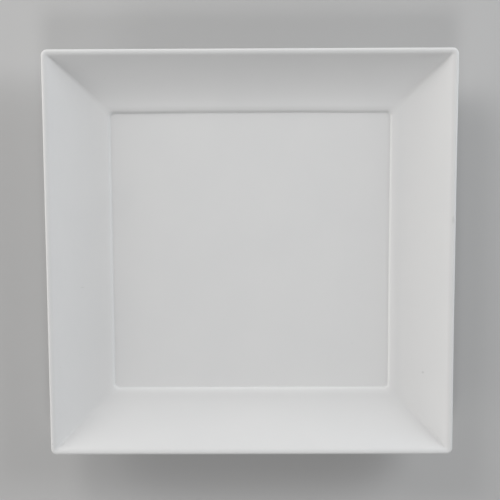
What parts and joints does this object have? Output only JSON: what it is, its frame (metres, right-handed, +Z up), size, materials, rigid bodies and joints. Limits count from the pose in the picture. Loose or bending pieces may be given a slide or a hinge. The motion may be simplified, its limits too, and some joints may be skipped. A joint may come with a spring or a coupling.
{
  "type": "square charger plate",
  "caption": "Square charger plate in matte unglazed white ceramic: flat recessed well, low step, coved rim mitred at the corners, rounded lip, and a foot ring to stand on.",
  "frame": {"origin": "centre of the plane that the foot ring stands on", "axes": "+Z up out of the well, X and Y along the plate's sides, +Y towards the side that is at the top of the picture"},
  "size_m": [0.33, 0.33, 0.035],
  "materials": {
    "bisque": "matte unglazed white earthenware"
  },
  "bodies": {
    "root": {"well_slab": "bisque", "rim_front": "bisque", "rim_right": "bisque", "rim_back": "bisque", "rim_left": "bisque", "foot_ring": "bisque"}
  },
  "joints": []
}
